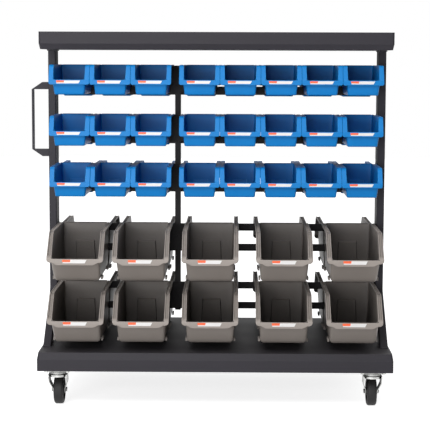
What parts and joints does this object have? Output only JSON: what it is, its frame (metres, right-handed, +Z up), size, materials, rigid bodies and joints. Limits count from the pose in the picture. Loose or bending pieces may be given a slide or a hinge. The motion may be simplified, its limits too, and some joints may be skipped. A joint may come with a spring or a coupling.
{
  "type": "rolling bin rack",
  "caption": "Double-sided steel bin rack on swivel casters: lift-off plastic bins hang on windowed rails between splayed end frames, under a folded top tray, with a push handle.",
  "frame": {"origin": "on the floor under the middle of the base deck", "axes": "+X along the rack away from the push handle, +Y from the front row of bins to the back, +Z up"},
  "size_m": [0.949, 0.582, 0.9601],
  "materials": {
    "frame_paint": "charcoal powder coat, satin",
    "rail_paint": "black powder coat, satin",
    "small_bin_plastic": "moulded blue plastic, fine texture",
    "large_bin_plastic": "moulded warm grey plastic, fine texture",
    "zinc_steel": "bright zinc plate",
    "wheel_rubber": "solid black tread, dull"
  },
  "bodies": {
    "rack": {"base_deck": "frame_paint", "caster_channels": "frame_paint", "top_tray": "frame_paint", "left_end_frame": "frame_paint", "right_end_frame": "frame_paint", "centre_post": "rail_paint", "front_rails": "rail_paint", "rear_rails": "rail_paint", "push_handle": "frame_paint", "rail_screws": "zinc_steel", "frame_bolts": "zinc_steel", "caster_plates": "zinc_steel"},
    "front_left_caster": {"front_left_fork": "zinc_steel"},
    "front_left_wheel": {"front_left_wheel": "wheel_rubber"},
    "rear_left_caster": {"rear_left_fork": "zinc_steel"},
    "rear_left_wheel": {"rear_left_wheel": "wheel_rubber"},
    "front_right_caster": {"front_right_fork": "zinc_steel"},
    "front_right_wheel": {"front_right_wheel": "wheel_rubber"},
    "rear_right_caster": {"rear_right_fork": "zinc_steel"},
    "rear_right_wheel": {"rear_right_wheel": "wheel_rubber"},
    "small_bin_row1_1": {"small_bin_row1_1": "small_bin_plastic"},
    "small_bin_row1_2": {"small_bin_row1_2": "small_bin_plastic"},
    "small_bin_row1_3": {"small_bin_row1_3": "small_bin_plastic"},
    "small_bin_row1_4": {"small_bin_row1_4": "small_bin_plastic"},
    "small_bin_row1_5": {"small_bin_row1_5": "small_bin_plastic"},
    "small_bin_row1_6": {"small_bin_row1_6": "small_bin_plastic"},
    "small_bin_row1_7": {"small_bin_row1_7": "small_bin_plastic"},
    "small_bin_row1_8": {"small_bin_row1_8": "small_bin_plastic"},
    "small_bin_row2_1": {"small_bin_row2_1": "small_bin_plastic"},
    "small_bin_row2_2": {"small_bin_row2_2": "small_bin_plastic"},
    "small_bin_row2_3": {"small_bin_row2_3": "small_bin_plastic"},
    "small_bin_row2_4": {"small_bin_row2_4": "small_bin_plastic"},
    "small_bin_row2_5": {"small_bin_row2_5": "small_bin_plastic"},
    "small_bin_row2_6": {"small_bin_row2_6": "small_bin_plastic"},
    "small_bin_row2_7": {"small_bin_row2_7": "small_bin_plastic"},
    "small_bin_row2_8": {"small_bin_row2_8": "small_bin_plastic"},
    "small_bin_row3_1": {"small_bin_row3_1": "small_bin_plastic"},
    "small_bin_row3_2": {"small_bin_row3_2": "small_bin_plastic"},
    "small_bin_row3_3": {"small_bin_row3_3": "small_bin_plastic"},
    "small_bin_row3_4": {"small_bin_row3_4": "small_bin_plastic"},
    "small_bin_row3_5": {"small_bin_row3_5": "small_bin_plastic"},
    "small_bin_row3_6": {"small_bin_row3_6": "small_bin_plastic"},
    "small_bin_row3_7": {"small_bin_row3_7": "small_bin_plastic"},
    "small_bin_row3_8": {"small_bin_row3_8": "small_bin_plastic"},
    "large_bin_row1_1": {"large_bin_row1_1": "large_bin_plastic"},
    "large_bin_row1_2": {"large_bin_row1_2": "large_bin_plastic"},
    "large_bin_row1_3": {"large_bin_row1_3": "large_bin_plastic"},
    "large_bin_row1_4": {"large_bin_row1_4": "large_bin_plastic"},
    "large_bin_row1_5": {"large_bin_row1_5": "large_bin_plastic"},
    "large_bin_row2_1": {"large_bin_row2_1": "large_bin_plastic"},
    "large_bin_row2_2": {"large_bin_row2_2": "large_bin_plastic"},
    "large_bin_row2_3": {"large_bin_row2_3": "large_bin_plastic"},
    "large_bin_row2_4": {"large_bin_row2_4": "large_bin_plastic"},
    "large_bin_row2_5": {"large_bin_row2_5": "large_bin_plastic"},
    "rear_small_bins_row1": {"rear_small_bins_row1": "small_bin_plastic"},
    "rear_small_bins_row2": {"rear_small_bins_row2": "small_bin_plastic"},
    "rear_small_bins_row3": {"rear_small_bins_row3": "small_bin_plastic"},
    "rear_large_bins_row1": {"rear_large_bins_row1": "large_bin_plastic"},
    "rear_large_bins_row2": {"rear_large_bins_row2": "large_bin_plastic"}
  },
  "joints": [
    {"name": "front_left_swivel", "type": "hinge", "parent": "rack", "child": "front_left_caster", "pos_m": [-0.4045, -0.222, 0.085], "axis": [0, 0, 1], "continuous": true},
    {"name": "front_left_roll", "type": "hinge", "parent": "front_left_caster", "child": "front_left_wheel", "pos_m": [-0.4045, -0.192, 0.037], "axis": [1, 0, 0], "continuous": true},
    {"name": "rear_left_swivel", "type": "hinge", "parent": "rack", "child": "rear_left_caster", "pos_m": [-0.4045, 0.222, 0.085], "axis": [0, 0, 1], "continuous": true},
    {"name": "rear_left_roll", "type": "hinge", "parent": "rear_left_caster", "child": "rear_left_wheel", "pos_m": [-0.4045, 0.252, 0.037], "axis": [1, 0, 0], "continuous": true},
    {"name": "front_right_swivel", "type": "hinge", "parent": "rack", "child": "front_right_caster", "pos_m": [0.4045, -0.222, 0.085], "axis": [0, 0, 1], "continuous": true},
    {"name": "front_right_roll", "type": "hinge", "parent": "front_right_caster", "child": "front_right_wheel", "pos_m": [0.4045, -0.192, 0.037], "axis": [1, 0, 0], "continuous": true},
    {"name": "rear_right_swivel", "type": "hinge", "parent": "rack", "child": "rear_right_caster", "pos_m": [0.4045, 0.222, 0.085], "axis": [0, 0, 1], "continuous": true},
    {"name": "rear_right_roll", "type": "hinge", "parent": "rear_right_caster", "child": "rear_right_wheel", "pos_m": [0.4045, 0.252, 0.037], "axis": [1, 0, 0], "continuous": true},
    {"name": "small_bin_row1_1_lift", "type": "slide", "parent": "rack", "child": "small_bin_row1_1", "axis": [0, 0, 1], "range_m": [0, 0.02]},
    {"name": "small_bin_row1_2_lift", "type": "slide", "parent": "rack", "child": "small_bin_row1_2", "axis": [0, 0, 1], "range_m": [0, 0.02]},
    {"name": "small_bin_row1_3_lift", "type": "slide", "parent": "rack", "child": "small_bin_row1_3", "axis": [0, 0, 1], "range_m": [0, 0.02]},
    {"name": "small_bin_row1_4_lift", "type": "slide", "parent": "rack", "child": "small_bin_row1_4", "axis": [0, 0, 1], "range_m": [0, 0.02]},
    {"name": "small_bin_row1_5_lift", "type": "slide", "parent": "rack", "child": "small_bin_row1_5", "axis": [0, 0, 1], "range_m": [0, 0.02]},
    {"name": "small_bin_row1_6_lift", "type": "slide", "parent": "rack", "child": "small_bin_row1_6", "axis": [0, 0, 1], "range_m": [0, 0.02]},
    {"name": "small_bin_row1_7_lift", "type": "slide", "parent": "rack", "child": "small_bin_row1_7", "axis": [0, 0, 1], "range_m": [0, 0.02]},
    {"name": "small_bin_row1_8_lift", "type": "slide", "parent": "rack", "child": "small_bin_row1_8", "axis": [0, 0, 1], "range_m": [0, 0.02]},
    {"name": "small_bin_row2_1_lift", "type": "slide", "parent": "rack", "child": "small_bin_row2_1", "axis": [0, 0, 1], "range_m": [0, 0.02]},
    {"name": "small_bin_row2_2_lift", "type": "slide", "parent": "rack", "child": "small_bin_row2_2", "axis": [0, 0, 1], "range_m": [0, 0.02]},
    {"name": "small_bin_row2_3_lift", "type": "slide", "parent": "rack", "child": "small_bin_row2_3", "axis": [0, 0, 1], "range_m": [0, 0.02]},
    {"name": "small_bin_row2_4_lift", "type": "slide", "parent": "rack", "child": "small_bin_row2_4", "axis": [0, 0, 1], "range_m": [0, 0.02]},
    {"name": "small_bin_row2_5_lift", "type": "slide", "parent": "rack", "child": "small_bin_row2_5", "axis": [0, 0, 1], "range_m": [0, 0.02]},
    {"name": "small_bin_row2_6_lift", "type": "slide", "parent": "rack", "child": "small_bin_row2_6", "axis": [0, 0, 1], "range_m": [0, 0.02]},
    {"name": "small_bin_row2_7_lift", "type": "slide", "parent": "rack", "child": "small_bin_row2_7", "axis": [0, 0, 1], "range_m": [0, 0.02]},
    {"name": "small_bin_row2_8_lift", "type": "slide", "parent": "rack", "child": "small_bin_row2_8", "axis": [0, 0, 1], "range_m": [0, 0.02]},
    {"name": "small_bin_row3_1_lift", "type": "slide", "parent": "rack", "child": "small_bin_row3_1", "axis": [0, 0, 1], "range_m": [0, 0.02]},
    {"name": "small_bin_row3_2_lift", "type": "slide", "parent": "rack", "child": "small_bin_row3_2", "axis": [0, 0, 1], "range_m": [0, 0.02]},
    {"name": "small_bin_row3_3_lift", "type": "slide", "parent": "rack", "child": "small_bin_row3_3", "axis": [0, 0, 1], "range_m": [0, 0.02]},
    {"name": "small_bin_row3_4_lift", "type": "slide", "parent": "rack", "child": "small_bin_row3_4", "axis": [0, 0, 1], "range_m": [0, 0.02]},
    {"name": "small_bin_row3_5_lift", "type": "slide", "parent": "rack", "child": "small_bin_row3_5", "axis": [0, 0, 1], "range_m": [0, 0.02]},
    {"name": "small_bin_row3_6_lift", "type": "slide", "parent": "rack", "child": "small_bin_row3_6", "axis": [0, 0, 1], "range_m": [0, 0.02]},
    {"name": "small_bin_row3_7_lift", "type": "slide", "parent": "rack", "child": "small_bin_row3_7", "axis": [0, 0, 1], "range_m": [0, 0.02]},
    {"name": "small_bin_row3_8_lift", "type": "slide", "parent": "rack", "child": "small_bin_row3_8", "axis": [0, 0, 1], "range_m": [0, 0.02]},
    {"name": "large_bin_row1_1_lift", "type": "slide", "parent": "rack", "child": "large_bin_row1_1", "axis": [0, 0, 1], "range_m": [0, 0.02]},
    {"name": "large_bin_row1_2_lift", "type": "slide", "parent": "rack", "child": "large_bin_row1_2", "axis": [0, 0, 1], "range_m": [0, 0.02]},
    {"name": "large_bin_row1_3_lift", "type": "slide", "parent": "rack", "child": "large_bin_row1_3", "axis": [0, 0, 1], "range_m": [0, 0.02]},
    {"name": "large_bin_row1_4_lift", "type": "slide", "parent": "rack", "child": "large_bin_row1_4", "axis": [0, 0, 1], "range_m": [0, 0.02]},
    {"name": "large_bin_row1_5_lift", "type": "slide", "parent": "rack", "child": "large_bin_row1_5", "axis": [0, 0, 1], "range_m": [0, 0.02]},
    {"name": "large_bin_row2_1_lift", "type": "slide", "parent": "rack", "child": "large_bin_row2_1", "axis": [0, 0, 1], "range_m": [0, 0.02]},
    {"name": "large_bin_row2_2_lift", "type": "slide", "parent": "rack", "child": "large_bin_row2_2", "axis": [0, 0, 1], "range_m": [0, 0.02]},
    {"name": "large_bin_row2_3_lift", "type": "slide", "parent": "rack", "child": "large_bin_row2_3", "axis": [0, 0, 1], "range_m": [0, 0.02]},
    {"name": "large_bin_row2_4_lift", "type": "slide", "parent": "rack", "child": "large_bin_row2_4", "axis": [0, 0, 1], "range_m": [0, 0.02]},
    {"name": "large_bin_row2_5_lift", "type": "slide", "parent": "rack", "child": "large_bin_row2_5", "axis": [0, 0, 1], "range_m": [0, 0.02]},
    {"name": "rear_small_bins_row1_lift", "type": "slide", "parent": "rack", "child": "rear_small_bins_row1", "axis": [0, 0, 1], "range_m": [0, 0.02]},
    {"name": "rear_small_bins_row2_lift", "type": "slide", "parent": "rack", "child": "rear_small_bins_row2", "axis": [0, 0, 1], "range_m": [0, 0.02]},
    {"name": "rear_small_bins_row3_lift", "type": "slide", "parent": "rack", "child": "rear_small_bins_row3", "axis": [0, 0, 1], "range_m": [0, 0.02]},
    {"name": "rear_large_bins_row1_lift", "type": "slide", "parent": "rack", "child": "rear_large_bins_row1", "axis": [0, 0, 1], "range_m": [0, 0.02]},
    {"name": "rear_large_bins_row2_lift", "type": "slide", "parent": "rack", "child": "rear_large_bins_row2", "axis": [0, 0, 1], "range_m": [0, 0.02]}
  ]
}
